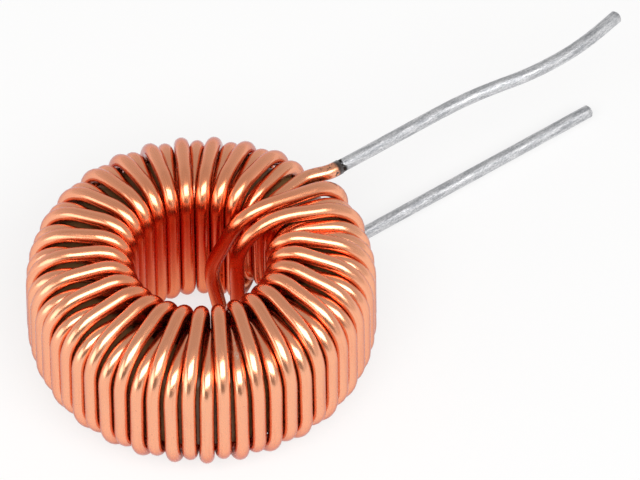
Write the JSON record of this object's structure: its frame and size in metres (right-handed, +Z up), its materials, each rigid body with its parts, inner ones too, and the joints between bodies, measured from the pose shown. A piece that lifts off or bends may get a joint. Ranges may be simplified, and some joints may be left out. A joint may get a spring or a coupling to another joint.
{
  "type": "toroidal inductor",
  "caption": "Toroidal inductor with enamelled copper wire wound round a coated ring core and stiff tinned ends leaving at one side.",
  "frame": {"origin": "on the ring's axis, in the plane the lowest bends of the winding rest on", "axes": "+Z up along the ring's axis, +X the way the two ends leave, +Y to the left of them seen from above"},
  "size_m": [0.0749, 0.0372, 0.0186],
  "materials": {
    "core_coat": "matte epoxy coat over pressed powder",
    "enamelled_copper": "satin, clear enamel over drawn copper",
    "tinned_copper": "dull, hot-dipped solder tin over copper"
  },
  "bodies": {
    "root": {"core": "core_coat", "winding": "enamelled_copper", "start_lead": "tinned_copper", "finish_lead": "tinned_copper"}
  },
  "joints": []
}
